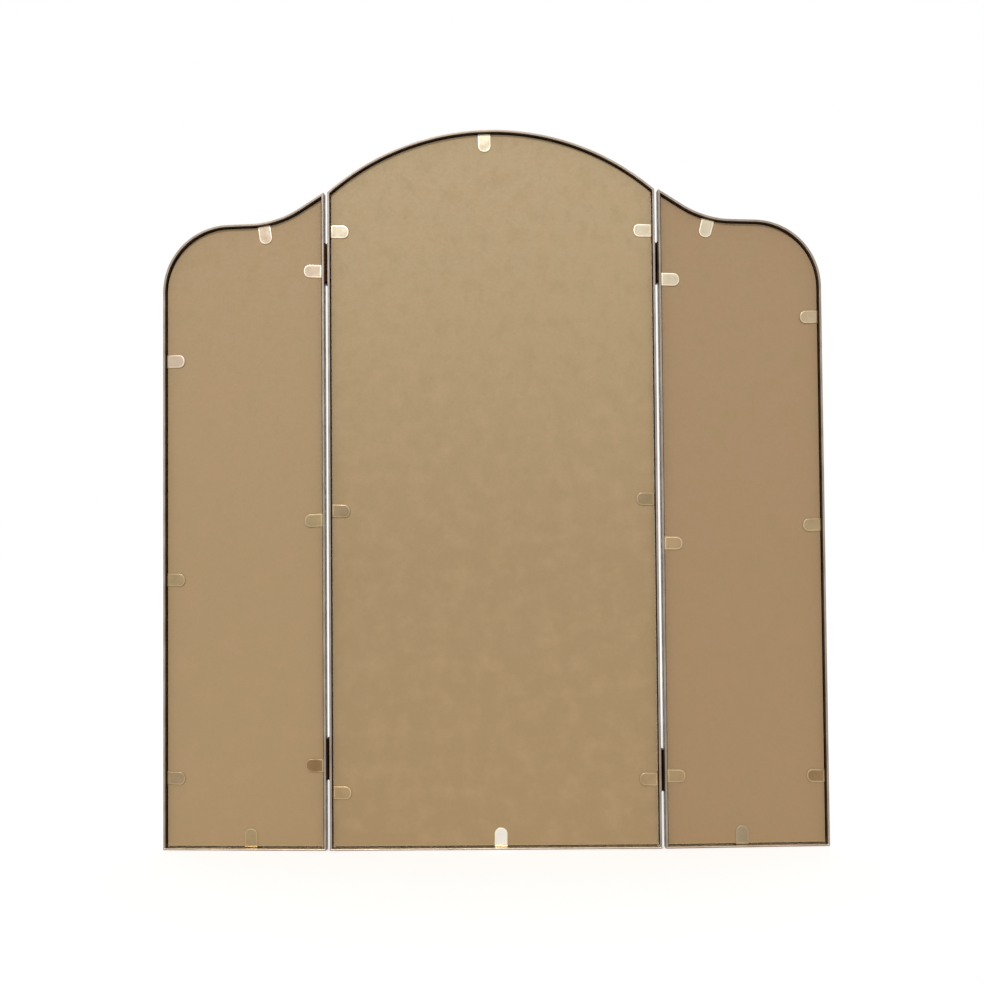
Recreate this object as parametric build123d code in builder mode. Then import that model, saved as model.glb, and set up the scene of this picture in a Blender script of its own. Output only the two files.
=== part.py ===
from build123d import *
import os
from math import cos, radians, sin, tan

# Three-panel folding vanity mirror, standing on its bottom edges.
# Millimetres. +Z is up and the mirrors face -Y, so the backs face +Y.
# The origin is the middle of the centre panel's bottom face.
# Left and right are those of a person who looks into the mirror.

os.makedirs("parts", exist_ok=True)

# Outline of the centre panel, over its frame
centre_width = 320.0
side_height = 640.0
arch_rise = 60.0

# Outline of a wing, over its frame, measured from its hinge side
closed_meeting_gap = 1.0
dip_distance = 46.0
dip_drop = 29.0
level_fall_angle = 1.2
hollow_radius = 94.0
shoulder_radius = 66.0

# Frame section: a wall round the panel and a lip over the front of the glass
frame_depth = 12.7
wall_thickness = 2.0
lip_width = 7.0
lip_thickness = 1.2
front_edge_chamfer = 0.6
back_edge_chamfer = 0.3

# What the frame holds
glass_thickness = 3.0
glass_edge_grind = 0.5
board_thickness = 3.0
edge_gap = 1.4

# Tab clips, strips fixed in the edge gap and bent over the board
clip_width = 12.5
clip_thickness = 0.8
clip_reach = 18.5
clip_corner_radius = 5.0
clip_bend_radius = 1.4
clip_foot_depth = 2.0

# Butt hinges on the facing side walls
hinge_length = 40.0
leaf_thickness = 1.0
leaf_depth = 9.0
leaf_corner_chamfer = 1.5
leaf_clearance = 0.9
knuckle_radius = 2.0
knuckle_count = 3
knuckle_gap = 0.2
barrel_clearance = 0.4
pin_radius = 1.1
pin_running_clearance = 0.05
pin_head_radius = 1.7
pin_head_height = 0.8

# Rest pose: how far each wing is turned forward from flat
rest_fold_angle = 3.0

# The hinges' middles: an upper one below the top of the side walls, a lower one above the bottom
right_hinge_places = {"upper": 69.0, "lower": 87.0}
left_hinge_places = {"upper": 71.0, "lower": 74.0}

# Clips on the side walls: upper below the top of the straight wall, middle above half the
# side height, lower above the bottom
centre_right_clips = {"upper": 38.0, "middle": 8.0, "lower": 55.0}
centre_left_clips = {"upper": 40.0, "middle": 17.0, "lower": 66.0}
right_wing_outer_clips = {"upper": 67.5, "middle": -58.0, "lower": 69.0}
right_wing_hinge_clips = {"upper": 77.0, "middle": -1.0, "lower": 81.0}
left_wing_outer_clips = {"upper": 29.0, "middle": -9.0, "lower": 67.0}
left_wing_hinge_clips = {"upper": 88.0, "middle": -26.0, "lower": 69.0}

# Clips along the top and bottom: on the centre panel from its middle, towards the right,
# and on a wing from its hinge side
centre_top_clip = 6.0
centre_bottom_clip = -5.0
right_wing_top_clip = 60.0
right_wing_bottom_clip = 74.0
left_wing_top_clip = 50.0
left_wing_bottom_clip = 75.0

# Sizes that follow from those above
half_width = centre_width / 2
wing_width = half_width - closed_meeting_gap / 2
level_fall = (wing_width - dip_distance) * tan(radians(level_fall_angle))
shoulder_height = side_height - dip_drop - level_fall
outer_wall_top = shoulder_height - shoulder_radius * tan(radians(90 - level_fall_angle) / 2)
panel_gap = 2 * leaf_thickness + leaf_clearance
hinge_x = half_width + panel_gap / 2
axis_offset = knuckle_radius + barrel_clearance
front_y = -frame_depth / 2
hinge_y = front_y - axis_offset
board_depth = lip_thickness + glass_thickness
clip_depth = board_depth + board_thickness
knuckle_pitch = (hinge_length + knuckle_gap) / knuckle_count
arch_radius = (half_width**2 + arch_rise**2) / (2 * arch_rise)
arch_seat = clip_width**2 / (8 * (arch_radius - wall_thickness))
right = 1
left = -1


def wing_facing(side, fold):
    """The plane of a wing's front face, from the hinge axis, with x to the right and y up."""
    across = (cos(radians(fold)), -side * sin(radians(fold)), 0)
    ahead = (-side * sin(radians(fold)), -cos(radians(fold)), 0)
    axis_plane = Plane(origin=(side * hinge_x, hinge_y, 0), x_dir=across, z_dir=ahead)
    return axis_plane.offset(-axis_offset)


centre_plane = Plane(origin=(0, front_y, 0), x_dir=(1, 0, 0), z_dir=(0, -1, 0))
wing_planes = {right: wing_facing(right, rest_fold_angle), left: wing_facing(left, rest_fold_angle)}


def centre_outline():
    """The centre panel's outer shape: a tall rectangle with an arched top."""
    top_left = (-half_width, side_height)
    top_right = (half_width, side_height)
    with BuildSketch() as outline:
        with BuildLine():
            Polyline(top_left, (-half_width, 0), (half_width, 0), top_right)
            ThreePointArc(top_right, (0, side_height + arch_rise), top_left)
        make_face()
    return outline.sketch


def wing_outline(side):
    """A wing's outer shape: its top runs down from the hinge side, hollows out and rounds the shoulder."""
    start = side * panel_gap / 2
    end = start + side * wing_width
    dip = (start + side * dip_distance, side_height - dip_drop)
    shoulder = (end, shoulder_height)
    with BuildSketch() as outline:
        with BuildLine():
            Polyline((start, 0), (end, 0), shoulder, dip, (start, side_height), close=True)
        make_face()
        fillet(outline.vertices().sort_by_distance(dip)[0], radius=hollow_radius)
        fillet(outline.vertices().sort_by_distance(shoulder)[0], radius=shoulder_radius)
    return outline.sketch


def inset(outline, distance):
    """The outline drawn in by a distance all round, with its corners kept sharp."""
    with BuildSketch() as smaller:
        add(outline)
        offset(amount=-distance, kind=Kind.INTERSECTION, mode=Mode.REPLACE)
    return smaller.sketch


def build_frame(outline, panel_plane):
    """A metal strip bent round the panel, with a lip turned in over the front of the glass."""
    with BuildPart() as frame:
        with BuildSketch(panel_plane):
            add(outline)
            add(inset(outline, lip_width), mode=Mode.SUBTRACT)
        extrude(amount=-lip_thickness)
        with BuildSketch(panel_plane):
            add(outline)
            add(inset(outline, wall_thickness), mode=Mode.SUBTRACT)
        extrude(amount=-frame_depth)
        through = Axis(panel_plane.origin, panel_plane.z_dir)
        front_face = frame.faces().sort_by(through)[-1]
        chamfer(front_face.outer_wire().edges(), length=front_edge_chamfer)
        back_face = frame.faces().sort_by(through)[0]
        chamfer(back_face.edges(), length=back_edge_chamfer)
    return frame.part


def build_plate(outline, panel_plane, depth, thickness, edge_grind=0):
    """A flat plate that lies in the frame, clear of its wall all round."""
    with BuildPart() as plate:
        with BuildSketch(panel_plane.offset(-depth)):
            add(inset(outline, wall_thickness + edge_gap))
        extrude(amount=-thickness)
        if edge_grind:
            front_face = plate.faces().sort_by(Axis(panel_plane.origin, panel_plane.z_dir))[-1]
            chamfer(front_face.outer_wire().edges(), length=edge_grind)
    return plate.part


def build_clip(panel_plane, foot, inward):
    """A flat metal strip: its foot lies on the wall, and its tab is bent down over the board.

    foot is the point on the inner face of the wall, and inward the way the tab points."""
    back = -panel_plane.z_dir
    inward_dir = panel_plane.x_dir * inward[0] + panel_plane.y_dir * inward[1]
    origin = panel_plane.from_local_coords(Vector(foot[0], foot[1], 0))
    side_plane = Plane(origin=origin, x_dir=inward_dir, z_dir=inward_dir.cross(back))
    top = clip_depth + clip_thickness
    with BuildPart() as clip:
        with BuildSketch(side_plane) as profile:
            with BuildLine():
                Polyline(
                    (clip_thickness, clip_depth),
                    (clip_thickness, clip_foot_depth),
                    (0, clip_foot_depth),
                    (0, top),
                    (clip_reach, top),
                    (clip_reach, clip_depth),
                    close=True,
                )
            make_face()
            bend = profile.vertices().sort_by_distance((0, top))[0]
            fillet(bend, radius=clip_bend_radius)
        extrude(amount=clip_width / 2, both=True)
        tip = clip.edges().filter_by(Axis((0, 0, 0), back)).sort_by(Axis(origin, inward_dir))[-2:]
        fillet(tip, radius=clip_corner_radius)
    return clip.part


def knuckle_planes(axis_plane, middle, first):
    """The planes at the lower ends of every other knuckle, from the first one."""
    bottom = middle - hinge_length / 2
    knuckles = range(first, knuckle_count, 2)
    return [axis_plane.offset(bottom + knuckle * knuckle_pitch) for knuckle in knuckles]


def build_leaf(axis_plane, lean, middle, first_knuckle):
    """A hinge leaf on a side wall, with its knuckles round the pin.

    lean is the way from the pin to the wall, along the panel."""
    leaf_middle = lean * (panel_gap - leaf_thickness) / 2
    leaf_end = axis_offset + leaf_depth
    with BuildPart() as leaf:
        with BuildSketch(axis_plane.offset(middle - hinge_length / 2)):
            with Locations((leaf_middle, leaf_end / 2)):
                Rectangle(leaf_thickness, leaf_end)
            Circle(knuckle_radius + knuckle_gap, mode=Mode.SUBTRACT)
        extrude(amount=hinge_length)
        corners = leaf.edges().filter_by(Axis((0, 0, 0), axis_plane.x_dir))
        back_corners = corners.sort_by(Axis(axis_plane.origin, axis_plane.y_dir))[-2:]
        chamfer(back_corners, length=leaf_corner_chamfer)
        with BuildSketch(*knuckle_planes(axis_plane, middle, first_knuckle)):
            Circle(knuckle_radius)
            with Locations((leaf_middle, axis_offset / 2)):
                Rectangle(leaf_thickness, axis_offset)
        extrude(amount=knuckle_pitch - knuckle_gap)
        with BuildSketch(axis_plane.offset(middle - hinge_length / 2)):
            Circle(pin_radius + pin_running_clearance)
        extrude(amount=hinge_length, mode=Mode.SUBTRACT)
    return leaf.part


def build_pin(side, middle):
    """A hinge pin, with a low head peened over at each end."""
    pin_plane = Plane(origin=(side * hinge_x, hinge_y, middle), z_dir=(0, 0, 1))
    half = hinge_length / 2
    with BuildPart() as pin:
        with BuildSketch(pin_plane.offset(-half)):
            Circle(pin_radius)
        extrude(amount=hinge_length)
        with BuildSketch(pin_plane.offset(half), pin_plane.offset(-half - pin_head_height)):
            Circle(pin_head_radius)
        extrude(amount=pin_head_height)
    return pin.part


def save(part, name):
    """Label a finished piece and write its file."""
    part.label = name
    export_step(part, "parts/" + name + ".step")


def build_panel(name, outline, panel_plane):
    """A panel's frame, its mirror glass and the board that backs it."""
    save(build_frame(outline, panel_plane), name + "_frame")
    glass = build_plate(outline, panel_plane, lip_thickness, glass_thickness, glass_edge_grind)
    save(glass, name + "_mirror_glass")
    save(build_plate(outline, panel_plane, board_depth, board_thickness), name + "_backing_board")


def build_side_clips(name, panel_plane, x, inward, wall_top, places):
    """The clips up one side wall. x is the place of the wall's outer face."""
    heights = {
        "upper": wall_top - places["upper"],
        "middle": side_height / 2 + places["middle"],
        "lower": places["lower"],
    }
    for place, height in heights.items():
        foot = (x + inward * wall_thickness, height)
        save(build_clip(panel_plane, foot, (inward, 0)), name + "_" + place)


def build_edge_clip(name, panel_plane, outline, x, upward, seat=0):
    """A clip on the top or bottom wall, square to the wall's inner face where it stands.

    seat moves it off a wall that curves round it, so that it rests on its two edges."""
    inner = inset(outline, wall_thickness)
    upright = Edge.make_line((x, -side_height), (x, 2 * side_height))
    ends = inner.intersect(upright).vertices().sort_by(Axis.Y)
    foot = Vector(ends[-1] if upward else ends[0])
    along = inner.edges().sort_by_distance(foot)[0].tangent_at(foot)
    inward = Vector(-along.Y, along.X)
    if (inward.Y > 0) == upward:
        inward = -inward
    foot = foot + inward * seat
    save(build_clip(panel_plane, (foot.X, foot.Y), (inward.X, inward.Y)), name)


def build_hinge(side, name, middle):
    """A butt hinge: its leaves stand on the facing side walls, and its pin joins their knuckles."""
    pin_point = (side * hinge_x, hinge_y, 0)
    centre_axis = Plane(origin=pin_point, x_dir=(1, 0, 0), z_dir=(0, 0, 1))
    wing_plane = wing_planes[side]
    wing_axis = Plane(origin=pin_point, x_dir=wing_plane.x_dir, z_dir=(0, 0, 1))
    save(build_leaf(centre_axis, -side, middle, 0), name + "_centre_leaf")
    save(build_leaf(wing_axis, side, middle, 1), name + "_wing_leaf")
    save(build_pin(side, middle), name + "_pin")


def build_wing(side, name, hinge_clips, outer_clips, top_clip, bottom_clip):
    """A wing with its clips, turned to its rest pose."""
    plane = wing_planes[side]
    shape = wing_outline(side)
    hinge_side = side * panel_gap / 2
    outer_side = hinge_side + side * wing_width
    build_panel(name, shape, plane)
    build_side_clips(name + "_clip_hinge_side", plane, hinge_side, side, side_height, hinge_clips)
    build_side_clips(name + "_clip_outer", plane, outer_side, -side, outer_wall_top, outer_clips)
    build_edge_clip(name + "_clip_top", plane, shape, hinge_side + side * top_clip, True)
    build_edge_clip(name + "_clip_bottom", plane, shape, hinge_side + side * bottom_clip, False)


# Centre panel
centre_shape = centre_outline()
build_panel("centre", centre_shape, centre_plane)
build_side_clips("centre_clip_right", centre_plane, half_width, -1, side_height, centre_right_clips)
build_side_clips("centre_clip_left", centre_plane, -half_width, 1, side_height, centre_left_clips)
build_edge_clip("centre_clip_top", centre_plane, centre_shape, centre_top_clip, True, arch_seat)
build_edge_clip("centre_clip_bottom", centre_plane, centre_shape, centre_bottom_clip, False)

# Wings
build_wing(
    right,
    "right_wing",
    right_wing_hinge_clips,
    right_wing_outer_clips,
    right_wing_top_clip,
    right_wing_bottom_clip,
)
build_wing(
    left,
    "left_wing",
    left_wing_hinge_clips,
    left_wing_outer_clips,
    left_wing_top_clip,
    left_wing_bottom_clip,
)

# Hinges
for side, name, places in ((right, "right", right_hinge_places), (left, "left", left_hinge_places)):
    build_hinge(side, name + "_hinge_upper", side_height - places["upper"])
    build_hinge(side, name + "_hinge_lower", places["lower"])
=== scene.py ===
import random
from math import asin, atan2, cos, pi, radians, sin, sqrt, tan

import bmesh
import bpy
from mathutils import Matrix, Vector


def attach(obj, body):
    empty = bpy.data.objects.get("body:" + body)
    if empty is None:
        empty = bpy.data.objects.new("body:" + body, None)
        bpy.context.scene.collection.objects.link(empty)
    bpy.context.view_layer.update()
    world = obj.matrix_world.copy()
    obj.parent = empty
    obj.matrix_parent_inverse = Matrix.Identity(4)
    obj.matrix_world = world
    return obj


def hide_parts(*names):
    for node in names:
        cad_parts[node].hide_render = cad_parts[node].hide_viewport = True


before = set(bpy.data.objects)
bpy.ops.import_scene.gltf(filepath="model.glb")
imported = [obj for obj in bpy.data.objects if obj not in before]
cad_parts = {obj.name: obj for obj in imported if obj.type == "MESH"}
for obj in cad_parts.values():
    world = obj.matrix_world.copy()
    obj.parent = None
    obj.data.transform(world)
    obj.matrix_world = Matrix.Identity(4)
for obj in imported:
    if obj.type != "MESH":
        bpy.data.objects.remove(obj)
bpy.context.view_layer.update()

# Frames
# Each panel sits in a strip of pale gold plated steel, bent round it and closed along the bottom,
# with a narrow lip rolled in over the front of the glass. The strip's sheared edge faces the back.
centre_half_width = 0.160
side_height = 0.640
arch_rise = 0.060
wing_width = 0.1595
panel_gap = 0.0029
dip_distance = 0.046
dip_drop = 0.029
level_fall_angle = radians(1.2)
level_fall = (wing_width - dip_distance) * tan(level_fall_angle)
hollow_radius = 0.094
shoulder_radius = 0.066
arch_steps, shoulder_steps, hollow_steps = 72, 36, 16
frame_depth = 0.0127
wall = 0.002
lip_width = 0.007
lip_thickness = 0.0012
strip_rounding = 0.00035
bottom_roll = 0.0011
hinge_axis = Vector((0.16145, -0.00875, 0))
axis_offset = 0.0024
fold = radians(3)
hinge_place = (
    Matrix.Translation(hinge_axis)
    @ Matrix.Rotation(-fold, 4, "Z")
    @ Matrix.Translation((0, axis_offset, 0))
)
panels = {
    "centre": ("centre_panel", Matrix.Translation((0, -frame_depth / 2, 0))),
    "right_wing": ("right_wing", hinge_place),
    "left_wing": ("left_wing", Matrix.Diagonal((-1, 1, 1, 1)) @ hinge_place),
}


def new_material(name, colour, roughness, metallic=0.0):
    """A material whose own colour, roughness and metal are set; detail is linked in later."""
    made = bpy.data.materials.new(name)
    made.use_nodes = True
    shader = made.node_tree.nodes["Principled BSDF"]
    shader.inputs["Base Color"].default_value = (*colour, 1)
    shader.inputs["Roughness"].default_value = roughness
    shader.inputs["Metallic"].default_value = metallic
    return made, shader


def from_screen(red, green, blue):
    """A colour of 0 to 255 on the screen as the light values that a shader takes."""
    screen = [part / 255 for part in (red, green, blue)]
    return tuple(
        ((part + 0.055) / 1.055) ** 2.4 if part > 0.04045 else part / 12.92 for part in screen
    )


def grain(made, scale, detail=3.0, stretch=(1, 1, 1), roughness=0.55):
    """A noise pattern on the piece's own coordinates, in patches of about 1 / scale metres."""
    nodes, links = made.node_tree.nodes, made.node_tree.links
    place = nodes.new("ShaderNodeTexCoord")
    mapping = nodes.new("ShaderNodeMapping")
    mapping.inputs["Scale"].default_value = stretch
    pattern = nodes.new("ShaderNodeTexNoise")
    pattern.inputs["Scale"].default_value = scale
    pattern.inputs["Detail"].default_value = detail
    pattern.inputs["Roughness"].default_value = roughness
    links.new(place.outputs["Object"], mapping.inputs["Vector"])
    links.new(mapping.outputs["Vector"], pattern.inputs["Vector"])
    return pattern.outputs["Fac"]


def spread(made, value, low, high, from_low=0.35, from_high=0.65):
    """Maps the middle of a pattern onto a range of values."""
    ramp = made.node_tree.nodes.new("ShaderNodeMapRange")
    ramp.inputs["From Min"].default_value = from_low
    ramp.inputs["From Max"].default_value = from_high
    ramp.inputs["To Min"].default_value = low
    ramp.inputs["To Max"].default_value = high
    made.node_tree.links.new(value, ramp.inputs["Value"])
    return ramp.outputs["Result"]


def blend(made, amount, first, second):
    """Mixes two colours, each a colour or a socket, by a value."""
    mix = made.node_tree.nodes.new("ShaderNodeMix")
    mix.data_type = "RGBA"
    factor, first_colour, second_colour = mix.inputs[0], mix.inputs[6], mix.inputs[7]
    mixed_colour = mix.outputs[2]
    made.node_tree.links.new(amount, factor)
    for colour, socket in ((first, first_colour), (second, second_colour)):
        if isinstance(colour, tuple):
            socket.default_value = (*colour, 1)
        else:
            made.node_tree.links.new(colour, socket)
    return mixed_colour


def relief(made, shader, height, distance):
    """Raises the surface by a pattern, distance being the real height in metres."""
    bump = made.node_tree.nodes.new("ShaderNodeBump")
    bump.inputs["Distance"].default_value = distance
    bump.inputs["Strength"].default_value = 1.0
    made.node_tree.links.new(height, bump.inputs["Height"])
    made.node_tree.links.new(bump.outputs["Normal"], shader.inputs["Normal"])


def plated_metal(name, light, dull, smooth, rough):
    """Plated strip: a faint clouding in its colour, a satin grain and fine handling marks."""
    made, shader = new_material(name, light, smooth, metallic=1.0)
    links = made.node_tree.links
    clouds = spread(made, grain(made, scale=38, detail=4), low=0, high=1)
    links.new(blend(made, clouds, light, dull), shader.inputs["Base Color"])
    satin = spread(made, grain(made, scale=160, detail=5), low=smooth, high=rough)
    links.new(satin, shader.inputs["Roughness"])
    marks = grain(made, scale=1400, detail=2, stretch=(1, 1, 0.12))
    relief(made, shader, marks, distance=0.00002)
    return made


strip_face = plated_metal(
    "strip_face", from_screen(226, 212, 190), from_screen(218, 203, 179), smooth=0.22, rough=0.36
)
# The back edge is greyer and darker: partly the duller sheared metal, partly a painted dark
# reflection of the dim room it faces.
sheared_edge_and_painted_reflection = plated_metal(
    "sheared_edge_and_painted_reflection", from_screen(160, 147, 136), from_screen(140, 126, 114), smooth=0.3, rough=0.42
)
# Painted shade: the outer faces of the walls that look across the gaps between panels are painted
# greyer and darker, for the shade in the gaps.
gap_wall_painted_shade = plated_metal(
    "gap_wall_painted_shade", from_screen(172, 165, 148), from_screen(156, 148, 131), smooth=0.45, rough=0.65
)
# Painted shade: the inner faces of the walls, down in the recess round the board, are painted dark
# brown for the shade there; the upward face of the bottom wall stays bright.
recess_wall_painted_shade = plated_metal(
    "recess_wall_painted_shade", from_screen(112, 92, 70), from_screen(84, 66, 48), smooth=0.5, rough=0.7
)
strip_materials = (strip_face, sheared_edge_and_painted_reflection, recess_wall_painted_shade, gap_wall_painted_shade)


def sweep(shape, start, centre, angle, steps):
    """Carries a corner of the outline round a centre, and leaves a point at each step."""
    point = shape.verts.new((start.x, 0, start.y))
    bmesh.ops.spin(
        shape, geom=[point], cent=(centre.x, 0, centre.y), axis=(0, -1, 0), angle=angle,
        steps=steps,
    )


def rounded_corner(shape, before, corner, after, radius, steps):
    """Draws the arc that touches both sides of a corner."""
    arriving = (corner - before).normalized()
    leaving = (after - corner).normalized()
    turn = atan2(arriving.cross(leaving), arriving.dot(leaving))
    start = corner - arriving * radius * tan(abs(turn) / 2)
    to_centre = Vector((-arriving.y, arriving.x)) * (1 if turn > 0 else -1)
    sweep(shape, start, start + to_centre * radius, turn, steps)


arch_radius = (centre_half_width**2 + arch_rise**2) / (2 * arch_rise)
arch_centre = Vector((0, side_height + arch_rise - arch_radius))
wing_start = panel_gap / 2
wing_end = wing_start + wing_width
dip = Vector((wing_start + dip_distance, side_height - dip_drop))
shoulder = Vector((wing_end, side_height - dip_drop - level_fall))


def draw_outline(panel):
    """A panel's outer shape as one face in the plane of its front."""
    shape = bmesh.new()
    if panel == "centre":
        shape.verts.new((-centre_half_width, 0, 0))
        shape.verts.new((centre_half_width, 0, 0))
        corner = Vector((centre_half_width, side_height))
        sweep(shape, corner, arch_centre, 2 * asin(centre_half_width / arch_radius), arch_steps)
    else:
        shape.verts.new((wing_start, 0, 0))
        shape.verts.new((wing_end, 0, 0))
        side = Vector((wing_end, 0))
        rounded_corner(shape, side, shoulder, dip, shoulder_radius, shoulder_steps)
        top = Vector((wing_start, side_height))
        rounded_corner(shape, shoulder, dip, top, hollow_radius, hollow_steps)
        shape.verts.new((wing_start, 0, side_height))
    shape.faces.new(list(shape.verts))
    shape.normal_update()
    return shape


def points_in(made):
    """The points among what an operator gives back."""
    return [item for item in made if isinstance(item, bmesh.types.BMVert)]


def edges_in(made):
    """The edges among what an operator gives back that run between its points alone."""
    points = set(points_in(made))
    return [
        item for item in made
        if isinstance(item, bmesh.types.BMEdge) and set(item.verts) <= points
    ]


def thicken(shape, face, distance):
    """Gives a flat face its thickness along the depth, and gives back the face behind it."""
    made = bmesh.ops.extrude_face_region(shape, geom=[face], use_keep_orig=True)["geom"]
    bmesh.ops.translate(shape, verts=points_in(made), vec=(0, distance, 0))
    return next(item for item in made if isinstance(item, bmesh.types.BMFace))


def inset_face(shape, face, distance):
    """Draws a ring inside a face, all round at one distance, and gives back what it leaves."""
    bmesh.ops.inset_region(
        shape, faces=[face], thickness=distance, use_even_offset=True, use_boundary=True
    )
    return face


def extrude_rim(shape, rim, distance):
    """Extrudes open edges along the depth, and gives back the new open edges."""
    made = bmesh.ops.extrude_edge_only(shape, edges=rim)["geom"]
    bmesh.ops.translate(shape, verts=points_in(made), vec=(0, distance, 0))
    return edges_in(made)


def round_edges(shape, radius, segments, sharper_than=radians(50)):
    """Rounds every edge that turns by more than an angle."""
    shape.normal_update()
    edges = [
        edge for edge in shape.edges
        if len(edge.link_faces) == 2 and edge.calc_face_angle() > sharper_than
    ]
    bmesh.ops.bevel(
        shape, geom=edges, offset=radius, segments=segments, profile=0.5, affect="EDGES",
        material=-1, clamp_overlap=True,
    )
    shape.normal_update()


def make_piece(shape, name, panel, node, materials, crease=35):
    """Carries a finished shape to its panel's place, gives it its materials and body, and hides
    the CAD node it replaces.
    """
    body, place = panels[panel]
    bmesh.ops.transform(shape, matrix=place, verts=shape.verts)
    bmesh.ops.recalc_face_normals(shape, faces=shape.faces)
    mesh = bpy.data.meshes.new(name)
    shape.to_mesh(mesh)
    shape.free()
    mesh.shade_smooth()
    mesh.set_sharp_from_angle(angle=radians(crease))
    piece = bpy.data.objects.new(name, mesh)
    bpy.context.scene.collection.objects.link(piece)
    for made in materials:
        mesh.materials.append(made)
    weighted = piece.modifiers.new("even_shading", "WEIGHTED_NORMAL")
    weighted.keep_sharp = True
    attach(piece, body)
    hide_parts(node)


same_place = 1e-6
back_layer = 0.0001
squarely, mostly, barely = 0.99, 0.9, 0.3
panel_middle_height = 0.3
for panel in panels:
    shape = draw_outline(panel)
    front = shape.faces[:][0]
    back = thicken(shape, front, frame_depth)
    rims = []
    for face, distance in ((front, lip_width), (back, wall)):
        inner = inset_face(shape, face, distance)
        rims.append(list(inner.edges))
        bmesh.ops.delete(shape, geom=[inner], context="FACES_ONLY")
    lip_rim = extrude_rim(shape, rims[0], lip_thickness)
    wall_rim = extrude_rim(shape, rims[1], lip_thickness - frame_depth)
    bmesh.ops.bridge_loops(shape, edges=lip_rim + wall_rim)
    bmesh.ops.recalc_face_normals(shape, faces=shape.faces)
    on_back_rim = {
        point for point in shape.verts
        if point.co.y > frame_depth - same_place and abs(point.co.z - wall) < same_place
    }
    bottom_inner = [edge for edge in shape.edges if set(edge.verts) <= on_back_rim]
    bmesh.ops.bevel(
        shape, geom=bottom_inner, offset=bottom_roll, segments=3, profile=0.5, affect="EDGES",
        material=-1,
    )
    round_edges(shape, strip_rounding, segments=3)
    panel_middle = 0 if panel == "centre" else (wing_start + wing_end) / 2
    for face in shape.faces:
        middle = face.calc_center_median()
        outward = middle - Vector((panel_middle, middle.y, panel_middle_height))
        faces_in = outward.dot(face.normal) < 0 and abs(face.normal.y) < barely
        hinge_facing = panel == "centre" or face.normal.x < 0
        # Painted reflection: the back edge faces take the darker edge colour.
        if face.normal.y > mostly and middle.y > frame_depth - back_layer:
            face.material_index = strip_materials.index(sheared_edge_and_painted_reflection)
        # Painted shade: inner walls in the recess take the dark painted shade.
        elif faces_in and middle.y > lip_thickness and face.normal.z < mostly:
            face.material_index = strip_materials.index(recess_wall_painted_shade)
        # Painted shade: walls facing across the gaps between panels take the grey gap shade.
        elif not faces_in and hinge_facing and abs(face.normal.x) > squarely:
            face.material_index = strip_materials.index(gap_wall_painted_shade)
    make_piece(
        shape, panel + "_bent_strip", panel, panel + "_frame", strip_materials
    )


# Mirror glasses
# Each panel has a plate of silvered float glass, cut to the inside of the strip, with its front
# edge ground to a small slope. It lies on the back of the lip.
edge_gap = 0.0014
glass_thickness = 0.003
glass_grind = 0.0005
flat_on = 0.95
plate_crease = 20

silvering, silver = new_material(
    "silvered_glass", from_screen(222, 228, 226), roughness=0.02, metallic=1.0
)
silver.inputs["Coat Weight"].default_value = 0.5
silver.inputs["Coat Roughness"].default_value = 0.01
polish = spread(silvering, grain(silvering, scale=22, detail=5), low=0.008, high=0.05)
silvering.node_tree.links.new(polish, silver.inputs["Roughness"])
haze = spread(silvering, grain(silvering, scale=9, detail=2), low=0, high=1)
hazed = blend(silvering, haze, from_screen(224, 230, 228), from_screen(217, 224, 223))
silvering.node_tree.links.new(hazed, silver.inputs["Base Color"])

ground_edge, ground = new_material(
    "ground_glass_edge", from_screen(150, 175, 165), roughness=0.4
)
frosting = spread(ground_edge, grain(ground_edge, scale=700), low=0, high=1)
frosted = blend(ground_edge, frosting, from_screen(158, 182, 172), from_screen(128, 155, 145))
ground_edge.node_tree.links.new(frosted, ground.inputs["Base Color"])
relief(ground_edge, ground, grain(ground_edge, scale=2500, detail=2), distance=0.00003)


def cut_plate(panel, depth, thickness):
    """A flat plate that follows the inside of the strip, clear of it all round."""
    shape = draw_outline(panel)
    inner = inset_face(shape, shape.faces[:][0], wall + edge_gap)
    ring = [face for face in shape.faces if face is not inner]
    bmesh.ops.delete(shape, geom=ring, context="FACES")
    thicken(shape, shape.faces[:][0], thickness)
    bmesh.ops.translate(shape, verts=shape.verts, vec=(0, depth, 0))
    bmesh.ops.recalc_face_normals(shape, faces=shape.faces)
    return shape


for panel in panels:
    shape = cut_plate(panel, lip_thickness, glass_thickness)
    front_edges = [
        edge for edge in shape.edges
        if all(abs(end.co.y - lip_thickness) < same_place for end in edge.verts)
    ]
    bmesh.ops.bevel(
        shape, geom=front_edges, offset=glass_grind, segments=1, profile=0.5, affect="EDGES",
        material=-1,
    )
    shape.normal_update()
    for face in shape.faces:
        face.material_index = 0 if abs(face.normal.y) > flat_on else 1
    make_piece(
        shape, panel + "_silvered_plate", panel, panel + "_mirror_glass",
        (silvering, ground_edge), plate_crease,
    )


# Backing boards
# A sheet of plain brown hardboard closes the back of each panel. It is sawn to shape, so its
# edge is paler and a little furred, the paler colour also a painted highlight on its rounded rim,
# and its face is faintly clouded from the pressing.
board_depth = lip_thickness + glass_thickness
board_thickness = 0.003
board_rounding = 0.0004
# Painted light: each board is painted lighter at the top than at the bottom, as light from above
# falls, and the left wing's board is painted darker, as it is turned from the light.
board_tones_painted_light = {
    "centre": (from_screen(188, 163, 123), from_screen(171, 142, 101)),
    "right_wing": (from_screen(181, 152, 113), from_screen(174, 145, 104)),
    "left_wing": (from_screen(171, 141, 104), from_screen(169, 138, 99)),
}

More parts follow.
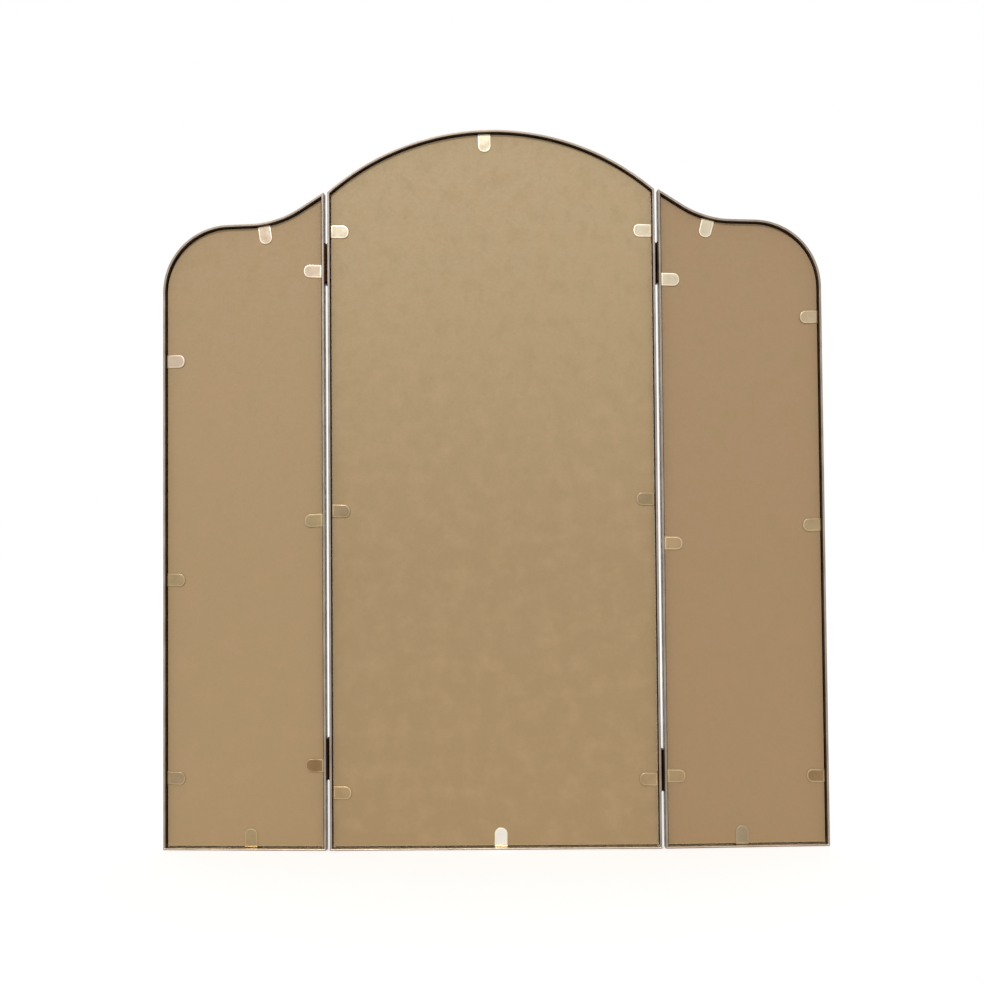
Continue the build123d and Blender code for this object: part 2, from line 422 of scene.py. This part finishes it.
# Painted highlight: the paler sawn edge colour also stands for light caught on the rounded rim.
sawn_edge_and_painted_highlight, sawn = new_material("sawn_board_edge_and_painted_highlight", from_screen(205, 182, 148), roughness=0.85)
fur = spread(sawn_edge_and_painted_highlight, grain(sawn_edge_and_painted_highlight, scale=1200), low=0, high=1)
furred = blend(sawn_edge_and_painted_highlight, fur, from_screen(214, 192, 158), from_screen(186, 162, 128))
sawn_edge_and_painted_highlight.node_tree.links.new(furred, sawn.inputs["Base Color"])
relief(sawn_edge_and_painted_highlight, sawn, grain(sawn_edge_and_painted_highlight, scale=2600), distance=0.0001)


def pressed_board(name, upper, lower):
    """Hardboard: its tone is painted lighter towards the top, as light from above falls, under
    pink and olive clouds and fine fibre.
    """
    made, shader = new_material(name, upper, roughness=0.62)
    nodes, links = made.node_tree.nodes, made.node_tree.links
    place = nodes.new("ShaderNodeTexCoord")
    axes = nodes.new("ShaderNodeSeparateXYZ")
    links.new(place.outputs["Object"], axes.inputs["Vector"])
    # Painted light: the tone runs from the lower colour to the upper one with height.
    height = spread(made, axes.outputs["Z"], 0, 1, from_low=0.28, from_high=0.66)
    tone = blend(made, height, lower, upper)

    pink = tuple(part * factor for part, factor in zip(upper, (1.03, 0.94, 0.93)))
    pink_clouds = spread(made, grain(made, scale=48), 0, 0.4, from_low=0.45, from_high=0.7)
    tone = blend(made, pink_clouds, tone, pink)

    olive = tuple(part * factor for part, factor in zip(lower, (0.95, 1.0, 0.93)))
    olive_pattern = grain(made, scale=70, stretch=(1, 1, 0.8))
    olive_clouds = spread(made, olive_pattern, 0, 0.4, from_low=0.48, from_high=0.72)
    tone = blend(made, olive_clouds, tone, olive)

    dark = tuple(part * 0.78 for part in lower)
    fibre_pattern = grain(made, scale=900, detail=4)
    fibres = spread(made, fibre_pattern, 0, 0.35, from_low=0.5, from_high=0.8)
    links.new(blend(made, fibres, tone, dark), shader.inputs["Base Color"])

    sheen = spread(made, grain(made, scale=300, detail=4), low=0.52, high=0.72)
    links.new(sheen, shader.inputs["Roughness"])
    relief(made, shader, grain(made, scale=1100, detail=4), distance=0.00005)
    return made


for panel in panels:
    shape = cut_plate(panel, board_depth, board_thickness)
    round_edges(shape, board_rounding, segments=2)
    for face in shape.faces:
        face.material_index = 0 if abs(face.normal.y) > flat_on else 1
    board_face = pressed_board(panel + "_hardboard_face", *board_tones_painted_light[panel])
    make_piece(
        shape, panel + "_hardboard", panel, panel + "_backing_board",
        (board_face, sawn_edge_and_painted_highlight), plate_crease,
    )


# Tab clips
# Twenty-four strips of the same plated metal hold the boards. Each stands on the strip's inner
# wall in the gap beside the board, is bent down over it by hand, and ends in a rounded tip.
clip_width = 0.0125
clip_thickness = 0.0008
clip_reach = 0.0185
clip_bend = 0.0014
clip_foot = 0.002
clip_tip_radius = 0.0057
clip_border = 0.0011
clip_crown = 0.00008
clip_rounding = 0.00035
clip_top = board_depth + board_thickness + clip_thickness
clip_crease = 30
bend_steps, tip_steps = 5, 8
wear = 14

# Painted light and reflection: each clip's face colour stands for how it is lit and what it
# mirrors, cream high up and tan to brown lower down where it mirrors the board; its rim colour is
# a lighter painted highlight.
clip_painted_light_tones = {}
for tone, painted_face_colour, rim_highlight_colour in (
    ("cream", (217, 203, 177), (242, 230, 204)),
    ("pink", (209, 189, 166), (244, 230, 206)),
    ("tan", (200, 181, 150), (220, 202, 170)),
    ("olive", (172, 151, 116), (194, 172, 134)),
    ("dull", (158, 138, 108), (190, 166, 130)),
    ("brown", (146, 119, 85), (198, 174, 138)),
    ("plain", (174, 149, 113), (212, 186, 147)),
    ("grey", (168, 151, 124), (184, 164, 132)),
    ("pale", (240, 236, 226), (238, 225, 195)),
):
    painted_face_value, rim_highlight_value = from_screen(*painted_face_colour), from_screen(*rim_highlight_colour)
    worn = from_screen(*(part - wear for part in painted_face_colour))
    clip_painted_light_tones[tone] = (
        plated_metal("clip_face_painted_light_" + tone, painted_face_value, worn, smooth=0.18, rough=0.28),
        plated_metal("clip_rim_painted_highlight_" + tone, rim_highlight_value, painted_face_value, smooth=0.3, rough=0.4),
    )


def bend_clip(lift, skew):
    """A clip at its own origin: x runs along the tab, y is the depth and z the width."""
    shape = bmesh.new()
    foot = [shape.verts.new((0, clip_foot, side * clip_width / 2)) for side in (-1, 1)]
    edge = extrude_rim(shape, [shape.edges.new(foot)], clip_top - clip_bend - clip_foot)
    turned = bmesh.ops.spin(
        shape, geom=edge + list(edge[0].verts), cent=(clip_bend, clip_top - clip_bend, 0),
        axis=(0, 0, 1), angle=lift - pi / 2, steps=bend_steps,
    )["geom_last"]
    grown = bmesh.ops.extrude_edge_only(shape, edges=edges_in(turned))["geom"]
    tips = points_in(grown)
    reach = clip_reach - clip_bend
    along = Vector((reach * cos(lift), reach * sin(lift), reach * sin(skew)))
    bmesh.ops.translate(shape, verts=tips, vec=along)
    bmesh.ops.bevel(
        shape, geom=tips, offset=clip_tip_radius, segments=tip_steps, profile=0.5,
        affect="VERTICES", material=-1,
    )
    bmesh.ops.recalc_face_normals(shape, faces=shape.faces)
    if shape.faces[:][0].normal.x > 0:
        bmesh.ops.reverse_faces(shape, faces=shape.faces)
    bmesh.ops.solidify(shape, geom=shape.faces, thickness=clip_thickness)
    bmesh.ops.recalc_face_normals(shape, faces=shape.faces)
    shape.normal_update()
    upward = [face for face in shape.faces if face.normal.y > flat_on]
    flat = max(upward, key=lambda face: face.calc_area())
    bmesh.ops.inset_region(
        shape, faces=[flat], thickness=clip_border, depth=clip_crown, use_even_offset=True
    )
    for face in shape.faces:
        face.material_index = 0 if face is flat else 1
    round_edges(shape, clip_rounding, segments=3)
    return shape


def place_clip(name, panel, foot, angle, tone, lift, skew):
    """Sets a clip on the wall at foot, with its tab turned to an angle in the panel's plane."""
    shape = bend_clip(lift, skew)
    turn = Matrix.Translation((foot.x, 0, foot.y)) @ Matrix.Rotation(-angle, 4, "Y")
    bmesh.ops.transform(shape, matrix=turn, verts=shape.verts)
    make_piece(
        shape, name + "_bent_tab", panel, name, clip_painted_light_tones[tone], clip_crease
    )


bends = random.Random(24)


def side_clips(prefix, panel, wall_x, inward, top, distances, tones):
    """A side wall's three clips, in mm below its top, above its half height and its bottom."""
    below_top, above_middle, above_bottom = (distance / 1000 for distance in distances)
    heights = {
        "upper": top - below_top,
        "middle": side_height / 2 + above_middle,
        "lower": above_bottom,
    }
    for (place, height), tone in zip(heights.items(), tones):
        foot = Vector((wall_x + inward * wall, height))
        angle = 0 if inward > 0 else pi
        lift = bends.uniform(0.015, 0.045)
        skew = bends.uniform(-0.04, 0.04)
        place_clip(prefix + "_" + place, panel, foot, angle, tone, lift, skew)


for prefix, wall_x, inward, distances in (
    ("centre_clip_right", centre_half_width, -1, (38, 8, 55)),
    ("centre_clip_left", -centre_half_width, 1, (40, 17, 66)),
):
    side_clips(
        prefix, "centre", wall_x, inward, side_height, distances, ("cream", "dull", "plain")
    )
outer_top = shoulder.y - shoulder_radius * tan((radians(90) - level_fall_angle) / 2)
for wing, at_hinges, hinge_tones, at_outside, outer_tones in (
    (
        "right_wing",
        (77, -1, 81), ("pink", "olive", "brown"),
        (67.5, -58, 69), ("pink", "olive", "dull"),
    ),
    (
        "left_wing",
        (88, -26, 69), ("cream", "plain", "plain"),
        (29, -9, 67), ("tan", "olive", "brown"),
    ),
):
    hinge_side = wing + "_clip_hinge_side"
    side_clips(hinge_side, wing, wing_start, 1, side_height, at_hinges, hinge_tones)
    side_clips(wing + "_clip_outer", wing, wing_end, -1, outer_top, at_outside, outer_tones)

top_clip_shift = 0.006
bottom_clip_shift = -0.005
inner_arch = arch_radius - wall
seat = clip_width**2 / (8 * inner_arch)
lean = asin(top_clip_shift / inner_arch)
foot = arch_centre + Vector((sin(lean), cos(lean))) * (inner_arch - seat)
place_clip("centre_clip_top", "centre", foot, -pi / 2 - lean, "cream", lift=0.012, skew=0)
foot = Vector((bottom_clip_shift, wall))
place_clip("centre_clip_bottom", "centre", foot, pi / 2, "pale", lift=0.01, skew=0.01)

falling_run = Vector((wing_start, side_height)) - dip
level_run = shoulder - dip
halfway = (falling_run.normalized() + level_run.normalized()).normalized()
hollow_turn = falling_run.angle(level_run)
hollow_centre = dip + halfway * hollow_radius / sin(hollow_turn / 2)
for wing, top_distance, bottom_distance, top_tone, bottom_tone in (
    ("right_wing", 0.060, 0.074, "pink", "olive"),
    ("left_wing", 0.050, 0.075, "cream", "grey"),
):
    across = wing_start + top_distance - hollow_centre.x
    drop = sqrt((hollow_radius + wall) ** 2 - across**2)
    outward = Vector((across, -drop)).normalized()
    foot = hollow_centre + outward * (hollow_radius + wall)
    angle = atan2(outward.y, outward.x)
    place_clip(wing + "_clip_top", wing, foot, angle, top_tone, lift=0.014, skew=0)
    foot = Vector((wing_start + bottom_distance, wall))
    place_clip(wing + "_clip_bottom", wing, foot, pi / 2, bottom_tone, lift=0.008, skew=-0.01)


# Hinges
# Two butt hinges in each gap let a wing turn. Their leaves lie flat on the facing walls, in a dark
# brown painted shade for the deep gap, and a steel pin with heads peened over at both ends holds
# the knuckles together.
# Painted shade: the leaves are dark brown for the shade deep in the gap.
hinge_leaf_painted_shade = plated_metal(
    "hinge_leaf_painted_shade_metal", from_screen(78, 58, 38), from_screen(48, 32, 18), smooth=0.35, rough=0.55
)
pin_steel = plated_metal(
    "pin_steel", from_screen(150, 138, 120), from_screen(110, 96, 80), smooth=0.25, rough=0.4
)
sides_and_heights = {
    "right_hinge_upper": (1, 0.571), "right_hinge_lower": (1, 0.087),
    "left_hinge_upper": (-1, 0.569), "left_hinge_lower": (-1, 0.074),
}
pin_radius = 0.0011
head_radius = 0.0017
head_height = 0.0008
head_rounding = 0.0006
round_segments = 32
hinge_length = 0.040
for hinge, (side, height) in sides_and_heights.items():
    for leaf in ("_centre_leaf", "_wing_leaf"):
        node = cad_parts[hinge + leaf]
        node.data.materials.clear()
        node.data.materials.append(hinge_leaf_painted_shade)
    shape = bmesh.new()
    reach = hinge_length / 2
    bmesh.ops.create_cone(
        shape, cap_ends=True, segments=round_segments, radius1=pin_radius, radius2=pin_radius,
        depth=hinge_length,
    )
    for end in (-1, 1):
        head = bmesh.ops.create_cone(
            shape, cap_ends=True, segments=round_segments, radius1=head_radius,
            radius2=head_radius, depth=head_height,
        )["verts"]
        bmesh.ops.translate(shape, verts=head, vec=(0, 0, end * (reach + head_height / 2)))
        tip = {point for point in head if end * point.co.z > reach + head_height / 2}
        rim = [edge for edge in shape.edges if set(edge.verts) <= tip]
        bmesh.ops.bevel(
            shape, geom=rim, offset=head_rounding, segments=4, profile=0.5, affect="EDGES",
            material=-1,
        )
    bmesh.ops.translate(shape, verts=shape.verts, vec=(0, 0, height))
    bmesh.ops.recalc_face_normals(shape, faces=shape.faces)
    bmesh.ops.translate(shape, verts=shape.verts, vec=(side * hinge_axis.x, hinge_axis.y, 0))
    mesh = bpy.data.meshes.new(hinge + "_peened_pin")
    shape.to_mesh(mesh)
    shape.free()
    mesh.shade_smooth()
    mesh.set_sharp_from_angle(angle=radians(35))
    mesh.materials.append(pin_steel)
    piece = bpy.data.objects.new(hinge + "_peened_pin", mesh)
    bpy.context.scene.collection.objects.link(piece)
    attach(piece, "centre_panel")
    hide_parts(hinge + "_pin")


# Floor and light
# A plain white floor that runs to the horizon. It gives itself a little light to every straight,
# mirrored or clear look, so that it meets the white surroundings and still keeps the shadow.
floor_half_size = 60
floor_white = (0.8, 0.8, 0.8)
floor_glow = 0.45
room_light = 0.52
sun_light = 1.3
sun_softness = radians(10)
towards_sun = Vector((0.12, 0.80, 0.52))

floor_mesh = bpy.data.meshes.new("floor")
shape = bmesh.new()
bmesh.ops.create_grid(shape, x_segments=1, y_segments=1, size=floor_half_size)
shape.to_mesh(floor_mesh)
shape.free()
floor = bpy.data.objects.new("floor", floor_mesh)
bpy.context.scene.collection.objects.link(floor)
floor_paint, floor_shader = new_material("floor_paint", floor_white, roughness=0.9)
floor_shader.inputs["Specular IOR Level"].default_value = 0.0
floor_mesh.materials.append(floor_paint)


def seen_flag(tree):
    """1 where a ray looks, straight, by a reflection or through glass, and 0 where it lights."""
    path = tree.nodes.new("ShaderNodeLightPath")
    flag = path.outputs["Is Camera Ray"]
    for other in ("Is Glossy Ray", "Is Transmission Ray"):
        either = tree.nodes.new("ShaderNodeMath")
        either.operation = "MAXIMUM"
        tree.links.new(flag, either.inputs[0])
        tree.links.new(path.outputs[other], either.inputs[1])
        flag = either.outputs[0]
    return flag


def two_strengths(tree, lighting, seen):
    """A strength that is one value for lighting and another for looking."""
    change = tree.nodes.new("ShaderNodeMapRange")
    change.inputs["To Min"].default_value = lighting
    change.inputs["To Max"].default_value = seen
    tree.links.new(seen_flag(tree), change.inputs["Value"])
    return change.outputs["Result"]


tree = floor_paint.node_tree
floor_shader.inputs["Emission Color"].default_value = (1, 1, 1, 1)
glow = two_strengths(tree, lighting=0, seen=floor_glow)
tree.links.new(glow, floor_shader.inputs["Emission Strength"])

world = bpy.data.worlds.new("studio")
bpy.context.scene.world = world
world.use_nodes = True
tree = world.node_tree
background = tree.nodes["Background"]
background.inputs["Color"].default_value = (1, 1, 1, 1)
surroundings = two_strengths(tree, lighting=room_light, seen=1)
tree.links.new(surroundings, background.inputs["Strength"])

sun = bpy.data.lights.new("sun", "SUN")
sun.energy = sun_light
sun.angle = sun_softness
sun_lamp = bpy.data.objects.new("sun", sun)
bpy.context.scene.collection.objects.link(sun_lamp)
sun_lamp.rotation_euler = towards_sun.to_track_quat("Z", "Y").to_euler()

# Camera
# It stands behind the mirror at a little under half its height and looks up by two degrees, as
# the picture does: a lens of 54.7 mm on a 36 mm frame, about 1.45 m from the boards.
camera_place = Vector((-0.0122, 1.4564, 0.2922))
yaw, pitch, roll = radians(0.52), radians(2.081), radians(-0.472)
camera = bpy.data.cameras.new("camera")
camera.sensor_width = 36
camera.lens = 54.68
ahead = Vector((sin(yaw) * cos(pitch), -cos(yaw) * cos(pitch), sin(pitch)))
right = ahead.cross(Vector((0, 0, 1))).normalized()
up = right.cross(ahead)
right, up = right * cos(roll) + up * sin(roll), up * cos(roll) - right * sin(roll)
turned = Matrix((right, up, -ahead)).transposed().to_4x4()
view = bpy.data.objects.new("camera", camera)
view.matrix_world = Matrix.Translation(camera_place) @ turned
bpy.context.scene.collection.objects.link(view)
bpy.context.scene.camera = view
bpy.context.scene.view_settings.view_transform = "Standard"
